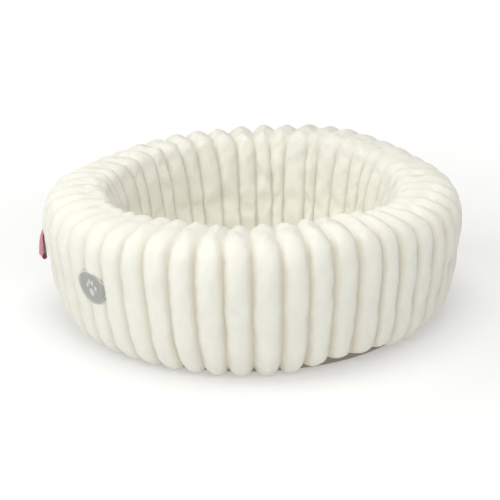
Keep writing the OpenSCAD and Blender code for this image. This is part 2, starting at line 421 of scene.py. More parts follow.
def even_angles(count):
    """Section angles at even steps along the section, from the middle of its underside."""
    fine = np.linspace(-np.pi / 2, 1.5 * np.pi, 4001)
    r, z = section(fine, 0.0)
    run = np.r_[0, np.cumsum(np.hypot(np.diff(r), np.diff(z)))]
    return np.interp(np.arange(count) * run[-1] / count, run, fine)


def wale_edges(theta, rng):
    """Angle of each groove at each section angle, in rows of WALES + 1."""
    turn = math.radians(FIRST_WALE_DEG) + TAU * np.arange(WALES) / WALES
    centre = turn - WALE_SPREAD * np.cos(turn)
    pitch = TAU / WALES
    inner = smoothstep(0.3, -0.8, np.cos(theta))[:, None]
    outer_jitter = rng.uniform(-0.05, 0.05, WALES)
    inner_jitter = rng.uniform(-0.17, 0.17, WALES)
    swing = rng.uniform(-0.045, 0.045, (3, WALES))
    phase = rng.uniform(0, TAU, (3, WALES))
    edges = centre + pitch * (outer_jitter * (1 - inner) + inner_jitter * inner)
    for i in range(3):
        reach = (0.5 + 0.8 * inner) * pitch * swing[i]
        edges = edges + reach * np.sin((i + 1) * theta[:, None] + phase[i])
    return np.c_[edges, edges[:, :1] + TAU]


def press_in(points):
    """Sink the plush under the label and under the side tag's tab."""
    r, phi = polar(points)
    across, up = label_plane(phi, points[:, 2])
    reach = np.hypot(across / LABEL_HALF_W, up / LABEL_HALF_H)
    limit = outer_face(phi, points[:, 2], label_depth(across)) - LABEL_T
    limit = limit + smoothstep(0.98, 1.2, reach) * CLEAR
    limit = limit + smoothstep(LABEL_END + 5 * MM, LABEL_END + 8 * MM, across) * CLEAR
    limit = np.where((r > SPINE_R) & (reach < 1.2), limit, 1.0)
    tab_mid = (tab_low.z + tab_high.z) / 2
    beside = np.maximum(np.abs(points[:, 1]) - TAG_W / 2, 0)
    above = np.maximum(np.abs(points[:, 2] - tab_mid) - (tab_high.z - tab_low.z) / 2, 0)
    off = np.hypot(beside, above)
    tab_limit = -tab_high.x - 1.2 * MM + smoothstep(1 * MM, TAB_REACH, off) * CLEAR
    tab_limit = np.where((points[:, 0] < 0) & (off < TAB_REACH), tab_limit, 1.0)
    scale = np.minimum(np.minimum(limit, tab_limit) / r, 1)
    return points * np.c_[scale, scale, np.ones_like(scale)]


def label_depth(across):
    return LABEL_SINK + LABEL_DIP * smoothstep(LABEL_END, LABEL_END + 9 * MM, across)


def label_plane(phi, z):
    """Distances across and up the label from its centre."""
    across = wrap(phi - math.radians(LABEL_AZIMUTH_DEG)) * RING_R
    up = z - LABEL_Z
    tilt = math.radians(LABEL_TILT_DEG)
    return (across * math.cos(tilt) + up * math.sin(tilt),
            up * math.cos(tilt) - across * math.sin(tilt))


def build_wall():
    rng = np.random.default_rng(11)
    theta = even_angles(SECTION_ROWS)
    edges = wale_edges(theta, rng)
    stops = np.asarray(WALE_STOPS)
    phi = edges[:, :-1, None] + (edges[:, 1:] - edges[:, :-1])[:, :, None] * stops
    th = theta[:, None, None] + 0 * phi
    x = np.abs(2 * stops - 1)[None, None, :] + 0 * phi
    up, out = np.sin(th), np.cos(th)

    rim = smoothstep(0.7, 1.0, up)
    inside = smoothstep(0.0, -0.8, out) * (1 - rim)
    outer_foot = smoothstep(-0.55, -0.95, up) * smoothstep(-0.1, 0.2, out)
    under = smoothstep(-0.96, -0.9995, up)
    angle = np.degrees(phi) % 360
    stretched = hump(angle, STRETCHED_LEFT) + hump(angle, STRETCHED_RIGHT)
    faint = hump(angle, FAINT_WALES) * (1 - inside) * (1 - outer_foot)
    sharp = 3.2 - 1.5 * rim + 0.8 * inside - 1.3 * outer_foot
    puff = (1 - x ** sharp) ** (0.62 + 0.22 * rim)
    depth = (6.8 + 1.2 * rim - 2.0 * inside + 3.6 * outer_foot - 3.2 * rim * stretched)
    depth = depth * MM * (1 - 0.85 * under) * (1 - 0.3 * faint)
    fullness = 1 + rng.uniform(-0.1, 0.1, WALES)[None, :, None]
    reach = rng.uniform(-1.0, 1.0, WALES)[None, :, None] * MM
    r, z = section(th, depth * fullness * (1 - puff))

    raised = smoothstep(*RAISED_FROM_DEG, angle) * smoothstep(*RAISED_TO_DEG, angle)
    hang = 3.2 * hump(angle, LONG_FRONT) + 1.5 * hump(angle, LONGEST_WALE)
    z = z + outer_foot * ((8.0 * raised - hang) * MM + reach)
    over_zip = smoothstep(*OVER_ZIP_DEG, np.degrees(np.abs(wrap(phi - np.pi / 2))))
    lip = smoothstep(BASE_R + 1 * MM, BASE_R + 9 * MM, r) * (1 - over_zip)
    z = np.maximum(z, FOOT_Z + 0.2 * MM - lip * 9 * MM)
    r, z = out_of_round(r, z, phi)
    verts = ring_points(r, phi, z).reshape(-1, 3)
    wall = make_mesh("plush_wall", verts, grid_faces(SECTION_ROWS, phi[0].size, True, True))
    # Painted shade in the grooves between the wales: less on the rim and where the cloth is drawn
    # flat, and less again on the lit front left (FAINT_WALES).
    groove_shade = x ** (5 + 6 * inside) * (1 - 0.7 * rim) * (1 - 0.8 * stretched * (1 - inside))
    groove_shade = groove_shade * (1 - 0.6 * faint)
    put_attribute(wall, "groove", groove_shade.reshape(-1))
    pinned = (x.reshape(-1) > 0.999) | (under.reshape(-1) > 0.2)
    inflate(wall, pinned, pressure=3.0, slack=0.02, cap=4 * MM)
    subdivide(wall)
    points = coords_of(wall)
    normal = np.empty(points.size)
    wall.data.vertices.foreach_get("normal", normal)
    soft = 0.35 * ripple(points, 34 * MM, 5) + 0.1 * ripple(points, 9 * MM, 6)
    free = smoothstep(FOOT_Z, FOOT_Z + 6 * MM, points[:, 2])
    points = points + normal.reshape(-1, 3) * (soft * free * MM)[:, None]
    floor = np.where(polar(points)[0] < BASE_R + 3 * MM, FOOT_Z, 1.5 * MM)
    rear = (points[:, 1] > 0) & (points[:, 2] < FOOT_Z)
    floor = np.where(rear, FOOT_Z, floor)
    points[:, 2] = np.maximum(points[:, 2], floor)
    move_to(wall, press_in(points))
    return wall


# ---- seat cushion
PIPING_R = (piping_high.z - piping_low.z) / 2
CUSHION_R = piping_high.y - PIPING_R
CUSHION_SEAM_Z = (piping_low.z + piping_high.z) / 2
CUSHION_FOOT_Z = cushion_foot_low.z + 0.2 * MM
CUSHION_WALES = 11
CUSHION_ROWS = 40


def build_cushion():
    """Top with straight wales and flat underside, sewn together at the rim."""
    steps = np.asarray(WALE_STOPS)
    cols = np.append((np.arange(CUSHION_WALES)[:, None] + steps).ravel(), CUSHION_WALES)
    u = 2 * cols / CUSHION_WALES - 1
    x = np.abs(2 * (cols % 1) - 1)
    v = np.sin(np.linspace(-np.pi / 2, np.pi / 2, CUSHION_ROWS))
    uu, vv = np.meshgrid(u, v)
    wale = np.meshgrid(x, v)[0]
    px = CUSHION_R * uu
    py = vv * np.sqrt(np.maximum(CUSHION_R ** 2 - px ** 2, 0))
    rho = np.clip(np.hypot(px, py) / CUSHION_R, 0, 1)
    crown = (1 - rho ** 2.6) ** 0.62
    top = CUSHION_SEAM_Z + crown * (cushion_high.z - CUSHION_SEAM_Z)
    top = top - 5 * MM * crown ** 0.5 * (1 - (1 - wale ** 2.4) ** 0.62)
    low = CUSHION_FOOT_Z + (CUSHION_SEAM_Z - CUSHION_FOOT_Z) * rho ** 9
    pieces = []
    for name, z in (("cushion_top", top), ("cushion_underside", low)):
        faces = grid_faces(CUSHION_ROWS, len(u))
        faces = faces if name == "cushion_top" else faces[:, ::-1]
        obj = make_mesh(name, np.stack([px, py, z], -1).reshape(-1, 3), faces)
        # Painted shade in the grooves between the cushion's wales; only the plush top reads it.
        put_attribute(obj, "groove", (wale ** 5).reshape(-1))
        pieces.append(weld(obj, 0.05 * MM, turn_out=False))
    cover, underside = pieces
    points = coords_of(cover)
    seam = polar(points)[0] > CUSHION_R * 0.998
    inflate(cover, seam, pressure=2.0, slack=0.02, cap=5 * MM)
    subdivide(cover)
    subdivide(underside)
    points = coords_of(cover)
    points[:, 2] += 0.35 * MM * ripple(points, 30 * MM, 8)
    move_to(cover, points)
    points = coords_of(underside)
    bend = 0.25 * MM * (1 + ripple(points, 26 * MM, 9))
    points[:, 2] = np.maximum(points[:, 2] + bend, cushion_foot_low.z)
    move_to(underside, points)
    return cover, underside


def build_piping():
    """Cord sewn into the cushion's seam, covered in bias-cut cloth."""
    count, sides = 420, 12
    phi, turn = full_turn(count), full_turn(sides)
    twist = np.sin(140 * phi[:, None] + turn[None, :])
    r = PIPING_R * (1 - 0.05 + 0.05 * twist)
    ring_r = CUSHION_R + 0.9 * PIPING_R + r * np.cos(turn)
    z = CUSHION_SEAM_Z + r * np.sin(turn)
    verts = ring_points(ring_r, phi[:, None], z)
    return make_mesh("cushion_cord", verts.reshape(-1, 3), grid_faces(count, sides, True, True))


# ---- base, lining and binding
def build_base_pan():
    """Taupe base cloth with a turned-up edge, cut lower where the zip crosses it."""
    cloth = 1.1 * MM
    low = 0.5 * MM
    turn = 3 * MM
    outline = [(r, low) for r in np.linspace(0, BASE_R - turn, 30)]
    for i in range(1, 7):
        a = math.radians(90 * i / 6)
        outline.append((BASE_R - turn + turn * math.sin(a), low + turn - turn * math.cos(a)))
    outline += [(BASE_R, 5.1 * MM), (BASE_R, BASE_TOP_Z), (BASE_R - cloth, BASE_TOP_Z)]
    outline += [(BASE_R - cloth, 5.1 * MM), (BASE_R - cloth, low + turn)]
    outline += [(r, low + cloth) for r in np.linspace(BASE_R - turn - cloth, 0, 30)]
    pan = revolve("base_pan", outline, 360)
    points = coords_of(pan)
    r, phi = polar(points)
    half = math.radians(ZIP_ARC_DEG / 2 + 1)
    notch = np.abs(wrap(phi - np.pi / 2)) < half
    points[:, 2] = np.where(notch, np.minimum(points[:, 2], ZIP_Z), points[:, 2])
    flat = smoothstep(BASE_R - 4 * MM, BASE_R - 12 * MM, r)
    points[:, 2] += flat * 0.12 * MM * ripple(points * [1, 1, 0], 45 * MM, 21)
    move_to(pan, points)
    return pan


DOT_SECTION = ((1.0, 1.0), (0.72, 0.35), (0.35, 0.06))  # shares of radius and height


def build_grip_dots():
    """Rows of low rubber dots under the base."""
    pitch, dot_r, dot_h, sides = 12 * MM, 1.8 * MM, 0.55 * MM, 10
    reach = BASE_R - 12 * MM
    dot = [(dot_r * share * math.cos(a), dot_r * share * math.sin(a), dot_h * height)
           for share, height in DOT_SECTION for a in full_turn(sides)] + [(0, 0, 0)]
    cap = (len(DOT_SECTION) - 1) * sides
    dot_faces = grid_faces(len(DOT_SECTION), sides, False, True)[:, ::-1].tolist()
    dot_faces += [[cap + (k + 1) % sides, cap + k, cap + sides] for k in range(sides)]
    dot_faces.append(list(range(sides)))
    row_pitch = pitch * math.sqrt(0.75)
    rows = int(reach / row_pitch)
    verts, faces = [], []
    for j in range(-rows, rows + 1):
        y = j * row_pitch
        for i in range(-rows - 2, rows + 3):
            x = (i + 0.5 * (j % 2)) * pitch
            if math.hypot(x, y) <= reach:
                faces += [[len(verts) + k for k in face] for face in dot_faces]
                verts += [(x + dx, y + dy, z) for dx, dy, z in dot]
    return make_mesh("grip_dots", verts, faces)


def build_lining():
    """Cloth floor of the well, drawn slightly uneven by its filling."""
    radius = lining_high.y
    rings, steps = 40, 180
    rho = np.linspace(0, radius, rings + 1)[1:]
    phi = full_turn(steps)
    flat = ring_points(rho[:, None], phi, np.zeros((rings, steps))).reshape(-1, 3)
    lift = 0.12 * MM * ripple(flat, 38 * MM, 31)
    top_z = lining_high.z - 0.15 * MM
    verts = np.r_[flat + np.c_[0 * lift, 0 * lift, top_z + lift], [[0, 0, top_z]],
                  flat + [0, 0, lining_low.z], [[0, 0, lining_low.z]]]
    half = rings * steps + 1
    faces = slab_faces(rings, steps, half)
    for i in range(steps):
        j = (i + 1) % steps
        faces += [[half - 1, i, j], [2 * half - 1, half + j, half + i]]
    return weld(make_mesh("well_lining", verts, faces))


def build_binding():
    """Folded tape over the base's edge where there is no zip, and its row of stitches."""
    start = ZIP_CENTRE_DEG + ZIP_ARC_DEG / 2 + 3
    sweep = 360 - ZIP_ARC_DEG - 6
    outline = rounded_box(binding_high.x - 1 * MM, binding_high.x - 0.15 * MM,
                          binding_low.z, binding_high.z, 0.4 * MM)
    tape = revolve("edge_binding", outline, 260, start, sweep)
    stitches = stitch_ring(binding_high.x - 0.1 * MM, (binding_low.z + binding_high.z) / 2,
                           start + 0.6, sweep - 1.2, 3.2 * MM)
    return tape, stitches


def stitch_ring(radius, z, start_deg, sweep_deg, pitch):
    """Running stitches round the Z axis."""
    count = int(math.radians(sweep_deg) * radius / pitch)
    stitches = []
    for i in range(count):
        a0 = math.radians(start_deg + sweep_deg * (i + 0.15) / count)
        a1 = math.radians(start_deg + sweep_deg * (i + 0.85) / count)
        path = []
        for k in range(4):
            a = a0 + (a1 - a0) * k / 3
            dip = 0.12 * MM * (1 - math.sin(math.pi * k / 3))
            path.append(((radius - dip) * math.cos(a), (radius - dip) * math.sin(a), z))
        stitches.append(tube("stitch", path, 0.18 * MM, 6))
    return join("edge_stitches", stitches)


# ---- zip
COIL_T = 1.4 * MM  # thickness of the coils from inside to outside
COIL_IN_R = coil_high.y - COIL_T
TOOTH_PITCH = 1.35 * MM
WIRE_R = 0.33 * MM


def build_zip_tape(name, low, high):
    """Woven tape with a thicker corded edge along the chain."""
    r_in = BASE_R + 0.2 * MM
    edge_z = high.z if abs(high.z - ZIP_Z) < abs(low.z - ZIP_Z) else low.z
    outline = rounded_box(r_in, r_in + 0.55 * MM, low.z, high.z, 0.2 * MM)
    tape = revolve(name, outline, 240, ZIP_CENTRE_DEG - ZIP_ARC_DEG / 2 - 2, ZIP_ARC_DEG + 4)
    points = coords_of(tape)
    near = np.exp(-((points[:, 2] - edge_z) / (0.9 * MM)) ** 2)
    r = polar(points)[0]
    scale = 1 + np.where(r > r_in + 0.3 * MM, 0.12 * MM * near, 0) / r
    move_to(tape, points * np.c_[scale, scale, np.ones_like(scale)])
    return tape


def build_zip_coil(name, low, high, offset):
    """Nylon coil of one side: a flattened helix of which each turn is one tooth."""
    mid_r = COIL_IN_R + COIL_T / 2
    teeth = int(math.radians(ZIP_ARC_DEG) * mid_r / TOOTH_PITCH)
    per_turn = 8
    mid_z, half_z = (low.z + high.z) / 2, (high.z - low.z) / 2 - WIRE_R * 0.9
    half_r = COIL_T / 2 - WIRE_R * 0.9
    i = np.arange(teeth * per_turn + 1)
    turn = TAU * i / per_turn
    share = np.clip((i / per_turn + offset) / (teeth + 0.6), 0, 1)
    phi = np.radians(ZIP_CENTRE_DEG + ZIP_ARC_DEG * (share - 0.5))
    r = mid_r + half_r * np.cos(turn)
    z = mid_z + half_z * np.sin(turn)
    return tube(name, ring_points(r, phi, z), WIRE_R, 6)


def plate(name, outline, low, high, bevel):
    """Solid with the outline in the XY plane between two heights, with rounded edges."""
    work = bmesh.new()
    ring = [work.verts.new((x, y, low)) for x, y in outline]
    top = [work.verts.new((x, y, high)) for x, y in outline]
    work.faces.new(ring[::-1])
    work.faces.new(top)
    for i in range(len(ring)):
        j = (i + 1) % len(ring)
        work.faces.new((ring[i], ring[j], top[j], top[i]))
    rims = [e for e in work.edges if abs(e.verts[0].co.z - e.verts[1].co.z) < 1e-9]
    bmesh.ops.bevel(work, geom=rims, offset=bevel, segments=3, profile=0.5, affect="EDGES")
    return from_bmesh(name, work)


def oblong(half_w, low, high):
    return [(-half_w, low), (half_w, low), (half_w, high), (-half_w, high)]


def place_on_zip(obj):
    """From local axes (along the chain, up, outward) to the slider's place."""
    c, s = math.cos(SLIDER_ANGLE), math.sin(SLIDER_ANGLE)
    obj.data.transform(Matrix(((-s, c, 0), (0, 0, 1), (c, s, 0))).transposed().to_4x4())
    obj.data.transform(Matrix.Translation((0, 0, ZIP_Z)))
    return obj


def build_slider():
    """Slider: a shield-shaped outer plate, side flanges and a bridge with the pull's pin."""
    slider_low, slider_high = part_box("zip_slider")
    half_h = (slider_high.z - slider_low.z) / 2
    half_l = 4.4 * MM
    plate_r = COIL_IN_R + COIL_T + 0.2 * MM
    outline = []
    for a in full_turn(40):
        c, s = math.cos(a), math.sin(a)
        taper = 1 - 0.16 * (0.5 - 0.5 * c)
        outline.append((half_l * signed_power(c, 0.5), half_h * taper * signed_power(s, 0.55)))
    parts = [plate("slider_plate", outline, plate_r, plate_r + 1.2 * MM, 0.35 * MM)]
    for z0 in (-half_h, half_h - 0.7 * MM):
        lip = oblong(half_l * 0.8, z0, z0 + 0.7 * MM)
        parts.append(plate("slider_lip", lip, COIL_IN_R, plate_r + 0.5 * MM, 0.15 * MM))
    for z0 in (-2.3 * MM, 1.4 * MM):
        ear = oblong(1.2 * MM, z0, z0 + 0.9 * MM)
        parts.append(plate("slider_ear", ear, plate_r + 0.6 * MM, PIN_R + 1.1 * MM, 0.3 * MM))
    path = [(0, z, PIN_R) for z in np.linspace(-1.9 * MM, 1.9 * MM, 6)]
    parts.append(tube("slider_pin", path, 0.68 * MM, 14))
    return place_on_zip(join("slider_body", parts))


def build_pull():
    """Pull: an eye round the slider's pin and a blade with a round hole near its end."""
    sides = 20
    eye = [(math.cos(a), math.sin(a)) for a in full_turn(sides)]
    outer_r, bore_r, half_w = 1.35 * MM, 0.78 * MM, 1.15 * MM
    rings = []
    for radius, y in ((bore_r, -half_w), (outer_r, -half_w), (outer_r, half_w), (bore_r, half_w)):
        rings += [(radius * c, y, PIN_R + radius * s) for c, s in eye]
    parts = [weld(make_mesh("pull_eye", rings, grid_faces(4, sides, True, True)))]
    half_t = 0.45 * MM
    length, neck, blade_w = 21.6 * MM, 1.1 * MM, 2.7 * MM
    outline = [(-outer_r + 0.3 * MM, neck), (-4 * MM, neck), (-7 * MM, blade_w)]
    steps = 10
    for i in range(steps + 1):
        a = math.pi * i / steps
        outline.append((-length + blade_w - blade_w * math.sin(a), blade_w * math.cos(a)))
    outline += [(-7 * MM, -blade_w), (-4 * MM, -neck), (-outer_r + 0.3 * MM, -neck)]
    hole_x, hole_r = -length + 3.4 * MM, 1.2 * MM
    hole = [(hole_x + hole_r * math.cos(a), hole_r * math.sin(a)) for a in full_turn(24)]
    parts.append(holed_plate("pull_blade", outline, hole, PIN_R - half_t, PIN_R + half_t))
    pull = join("pull_tab", parts)
    pull.data.transform(Matrix.Diagonal((-1, 1, 1, 1)))
    pull.data.flip_normals()
    return place_on_zip(pull)


def holed_plate(name, outline, hole, low, high):
    """Flat solid between two heights with a hole through it and softened outer edges."""
    work = bmesh.new()
    edges = []
    for loop in (outline, hole):
        ring = [work.verts.new((x, y, low)) for x, y in loop]
        edges += [work.edges.new((ring[i], ring[(i + 1) % len(ring)])) for i in range(len(ring))]
    filled = bmesh.ops.triangle_fill(work, use_beauty=True, use_dissolve=False, edges=edges)
    faces = [f for f in filled["geom"] if isinstance(f, bmesh.types.BMFace)]
    raised = bmesh.ops.extrude_face_region(work, geom=faces)
    verts = [v for v in raised["geom"] if isinstance(v, bmesh.types.BMVert)]
    bmesh.ops.translate(work, verts=verts, vec=(0, 0, high - low))
    bmesh.ops.recalc_face_normals(work, faces=work.faces)
    sharp = [e for e in work.edges if len(e.link_faces) == 2
             and abs(e.verts[0].co.z - e.verts[1].co.z) < 1e-9
             and e.calc_face_angle(0) > 1.0]
    bmesh.ops.bevel(work, geom=sharp, offset=0.18 * MM, segments=2, profile=0.5, affect="EDGES")
    return from_bmesh(name, work)


def build_stops():
    """Crimped stops at both ends of the chain."""
    parts = []
    r_in = COIL_IN_R
    for share, step in ((0, -1), (1, 1)):
        centre = ZIP_CENTRE_DEG + ZIP_ARC_DEG * (share - 0.5) + step * 0.4
        outline = rounded_box(r_in, r_in + 1.35 * MM, coil_low.z, top_coil_high.z, 0.45 * MM)
        parts.append(revolve("stop", outline, 4, centre - 0.27, 0.54))
    return join("chain_stops", parts)


# ---- label
def label_point(rho, turn, height):
    """Point of the label at a share rho of its radius, height above the pressed plush."""
    tilt = math.radians(LABEL_TILT_DEG)
    a = rho * LABEL_HALF_W * np.cos(turn)
    b = rho * LABEL_HALF_H * np.sin(turn)
    across = a * math.cos(tilt) - b * math.sin(tilt)
    z = LABEL_Z + a * math.sin(tilt) + b * math.cos(tilt)
    phi = math.radians(LABEL_AZIMUTH_DEG) + across / RING_R
    wave = 0.5 * MM * np.cos((phi - LABEL_GROOVE) * WALES)
    r = outer_face(phi, z, label_depth(across)) - wave * (1 - rho ** 4) - LABEL_T + height
    return ring_points(r, phi, z)


def build_label():
    """Woven oval patch with a close border of thread wound over its edge."""
    rings, steps = 16, 96
    turn = full_turn(steps)
    rho = np.linspace(0.02, 1, rings)
    rr, tt = np.meshgrid(rho, turn, indexing="ij")
    rim = np.sqrt(np.clip(1 - ((rr - 0.93) / 0.07) ** 2, 0, 1))
    height = LABEL_T * np.where(rr > 0.93, 0.45 + 0.55 * rim, 0.9)
    top = label_point(rr, tt, height).reshape(-1, 3)
    bottom = label_point(rr, tt, 0.1 * MM + 0 * rr).reshape(-1, 3)
    half = rings * steps
    faces = slab_faces(rings, steps, half)
    faces += [list(range(steps)), list(range(half, half + steps))[::-1]]
    patch = weld(make_mesh("label_patch", np.r_[top, bottom], faces))

    border = []
    for a in full_turn(BORDER_WRAPS):
        path = [label_point(share, a + BORDER_LEAN * k, LABEL_T * lift)
                for k, (share, lift) in enumerate(BORDER_SECTION)]
        border.append(tube("wrap", path, LABEL_THREAD_R, 5))
    stitches = []
    for a in full_turn(LABEL_STITCHES):
        path = []
        for k in range(4):
            lift = LABEL_T + 0.12 * MM * math.sin(math.pi * k / 3)
            angle = a + TAU * (0.2 + 0.2 * k) / LABEL_STITCHES
            path.append(label_point(STITCH_SHARE, angle, lift))
        stitches.append(tube("stitch", path, LABEL_THREAD_R, 6))
    return (patch, join("label_border", border),
            join("label_stitches", stitches + paw_threads()))


def paw_threads():
    """Satin stitches that fill a plain paw print in the middle of the label."""
    threads = []
    for u0, v0, half_u, half_v in PAW_SPOTS:
        rows = int(2 * half_v * LABEL_HALF_H / PAW_PITCH)
        for i in range(rows):
            s = 2 * (i + 0.5) / rows - 1
            reach = half_u * math.sqrt(1 - s * s)
            path = []
            for k in (-1, -0.5, 0, 0.5, 1):
                u, v = u0 + k * reach, v0 + s * half_v
                lift = LABEL_T + 0.25 * MM * (1 - k * k)
                path.append(label_point(np.hypot(u, v), np.arctan2(v, u), lift))
            threads.append(tube("satin", path, 0.33 * MM, 6))
    return threads


# ---- side tag
TAG_GAP = 2.7 * MM  # half the opening at the bottom of the loop
TAG_TWIST_DEG = 19
TAG_LEG_ROWS = 26
TAG_T = 0.45 * MM


def tag_path():
    """Half of the gap and height, from the tab down, round the fold and up again."""
    top_z = tab_high.z - 0.6 * MM
    fold_z = tag_low.z + TAG_GAP + TAG_T
    legs = []
    for i in range(TAG_LEG_ROWS):
        share = i / (TAG_LEG_ROWS - 1)
        z = top_z + (fold_z - top_z) * share
        drop = max(0.0, (TAG_Z - z) / (TAG_Z - fold_z))
        legs.append((0.42 * MM + (TAG_GAP - 0.42 * MM) * drop ** 1.25, z))
    fold = []
    for i in range(1, 12):
        a = math.pi * i / 12
        fold.append((TAG_GAP * math.cos(a), fold_z - TAG_GAP * math.sin(a)))
    return legs + fold + [(-gap, z) for gap, z in reversed(legs)]


def tag_point(gap, z, across):
    """Point of the loop at a distance across the ribbon, with the loop's twist and lean."""
    drop = np.clip((TAG_Z - z) / (TAG_Z - tag_low.z), 0, 1)
    twist = math.radians(TAG_TWIST_DEG) * smoothstep(0, 0.7, drop)
    x_mid = tab_mid_x() - 0.8 * MM * drop - 3.4 * MM * smoothstep(0, 0.5, drop)
    x_mid = x_mid + 2.5 * MM * smoothstep(tack_high.z - 0.5 * MM, tab_high.z, z)
    return (x_mid + gap * np.cos(twist) - across * np.sin(twist),
            gap * np.sin(twist) + across * np.cos(twist), z)


def tab_mid_x():
    return (tab_low.x + tab_high.x) / 2 - 0.2 * MM


def build_tag():
    """One ribbon, folded into a loop, with both ends sewn under the bar tack."""
    path = np.asarray(tag_path())
    along = np.gradient(path, axis=0)
    along /= np.linalg.norm(along, axis=1, keepdims=True)
    normal = np.c_[-along[:, 1], along[:, 0]]
    half_w = TAG_W / 2
    across = np.linspace(-half_w, half_w, 13)
    layers = []
    for side in (0.5, -0.5):
        gap = path[:, 0] + normal[:, 0] * side * TAG_T
        z = path[:, 1] + normal[:, 1] * side * TAG_T
        gg, ww = np.meshgrid(gap, across, indexing="ij")
        zz = np.meshgrid(z, across, indexing="ij")[0]
        layers.append(np.stack(tag_point(gg, zz, ww), -1))
    rows, cols = layers[0].shape[:2]
    outline = np.concatenate([layers[0], layers[1][:, ::-1]], 1)
    faces = grid_faces(rows, 2 * cols, False, True).tolist()
    for r in (0, (rows - 1) * 2 * cols):
        for c in range(cols - 1):
            quad = [r + c, r + c + 1, r + 2 * cols - 2 - c, r + 2 * cols - 1 - c]
            faces.append(quad if r else quad[::-1])
    tag = make_mesh("side_ribbon", outline.reshape(-1, 3), faces)
    run = np.r_[0, np.cumsum(np.linalg.norm(np.diff(path, axis=0), axis=1))]
    put_attribute(tag, "run", np.repeat(run, 2 * cols))
    tag.data.materials.append(ribbon_material("ribbon_pink", (0.72, 0.2, 0.28)))
    # The inside face of the first leg, which lies in shade inside the loop, gets a painted shade
    # colour, grey-brown.
    tag.data.materials.append(ribbon_material("ribbon_painted_shade", (0.55, 0.47, 0.41)))
    weld(tag, 0)
    # Only these faces take the painted shade material; the rest of the ribbon's back stays pink.
    inner = np.zeros(len(tag.data.polygons), np.int32)
    cells = (rows - 1) * 2 * cols
    side = np.arange(cells) % (2 * cols)
    inner[:cells] = side >= cols
    inner[:cells] *= np.arange(cells) // (2 * cols) < TAG_LEG_ROWS
    tag.data.polygons.foreach_set("material_index", inner)
    return tag


def build_bartack():
    """Dense zigzag of thread across the ribbon's tab."""
    zigs = 34
    x = tab_mid_x() - 1.15 * MM
    path = []
    for i in range(zigs + 1):
        y = -TAG_W / 2 + 0.8 * MM + (TAG_W - 1.6 * MM) * i / zigs
        z = tack_low.z + 0.5 * MM if i % 2 else tack_high.z - 0.5 * MM
        path.append((x, y, z))
    return tube("bar_tack", path, 0.28 * MM, 6)


# ---- materials
class Nodes:
    """Short way to make and join a material's nodes."""

    def __init__(self, name):
        self.mat = bpy.data.materials.new(name)
        self.mat.use_nodes = True
        self.tree = self.mat.node_tree
        self.tree.nodes.clear()
        out = self.tree.nodes.new("ShaderNodeOutputMaterial")
        self.shader = self.tree.nodes.new("ShaderNodeBsdfPrincipled")
        self.tree.links.new(self.shader.outputs[0], out.inputs["Surface"])

    def node(self, kind, **inputs):
        made = self.tree.nodes.new(kind)
        for key, value in inputs.items():
            made.inputs[key.replace("_", " ")].default_value = value
        return made

    def join(self, source, target):
        self.tree.links.new(source, target)

    def fixed(self, **sockets):
        for key, value in sockets.items():
            self.shader.inputs[key.replace("_", " ")].default_value = value

    def coords(self):
        return self.node("ShaderNodeTexCoord").outputs["Object"]

    def attribute(self, name):
        made = self.node("ShaderNodeAttribute")
        made.attribute_name = name
        return made.outputs["Fac"]

    def noise(self, scale, detail=3.0, roughness=0.5):
        made = self.node("ShaderNodeTexNoise", Scale=scale, Detail=detail, Roughness=roughness)
        self.join(self.coords(), made.inputs["Vector"])
        return made.outputs["Fac"]

    def feed(self, socket, value):
        if isinstance(value, (int, float)):
            socket.default_value = value
        elif isinstance(value, tuple):
            socket.default_value = (*value, 1)
        else:
            self.join(value, socket)

    def math(self, operation, a, b=0.5):
        made = self.node("ShaderNodeMath")
        made.operation = operation
        self.feed(made.inputs[0], a)
        self.feed(made.inputs[1], b)
        return made.outputs[0]

    def ramp(self, value, stops):
        made = self.node("ShaderNodeValToRGB")
        bar = made.color_ramp
        while len(bar.elements) < len(stops):
            bar.elements.new(0.5)
        for element, (at, colour) in zip(bar.elements, stops):
            element.position = at
            element.color = (*colour, 1)
        self.join(value, made.inputs["Fac"])
        return made.outputs["Color"]

    def mix(self, factor, first, second):
        made = self.tree.nodes.new("ShaderNodeMix")
        made.data_type = "RGBA"
        for i, value in ((0, factor), (6, first), (7, second)):
            self.feed(made.inputs[i], value)
        return made.outputs[2]

    def colour(self, source):
        self.join(source, self.shader.inputs["Base Color"])

    def bump(self, height, strength, distance):
        made = self.node("ShaderNodeBump", Strength=strength, Distance=distance)
        self.join(height, made.inputs["Height"])
        self.join(made.outputs["Normal"], self.shader.inputs["Normal"])

    def weave(self, pitch):
        """Height of a plain weave with threads along two diagonals of space."""
        spaced = self.tree.nodes.new("ShaderNodeSeparateXYZ")
        self.join(self.coords(), spaced.inputs[0])
        turns = TAU / pitch
        warp = self.math("SINE", self.math("MULTIPLY", self.math(
            "ADD", spaced.outputs[0], spaced.outputs[2]), turns))
        weft = self.math("SINE", self.math("MULTIPLY", self.math(
            "SUBTRACT", spaced.outputs[1], spaced.outputs[2]), turns))
        return self.math("MULTIPLY", warp, weft)


def scaled(colour, share):
    return tuple(c * share for c in colour)


def plush_material():
    """Short ivory pile: soft clumps, a patchy nap, and painted shade, warmer and darker, in the
    grooves.
    """
    m = Nodes("plush")
    light, mid, deep = (0.94, 0.93, 0.845), (0.91, 0.895, 0.795), (0.64, 0.59, 0.47)
    nap = m.ramp(m.noise(38, 3.0, 0.6), [(0.3, mid), (0.72, light)])
    # Painted shade: the groove attribute mixes in the warmer, darker deep colour.
    shade = m.math("MULTIPLY", m.attribute("groove"), 0.8)
    m.colour(m.mix(shade, nap, deep))
    m.fixed(Roughness=0.95, Sheen_Weight=0.35, Sheen_Roughness=0.45,
            Sheen_Tint=(1.0, 0.99, 0.96, 1), Specular_IOR_Level=0.1)
    pile = m.math("ADD", m.noise(1300, 2.0, 0.7), m.math("MULTIPLY", m.noise(420, 2.0, 0.6), 1.5))
    clumps = m.math("ADD", pile, m.math("MULTIPLY", m.noise(120, 2.0), 1.2))
    m.bump(clumps, 0.6, 0.001)
    return m.mat


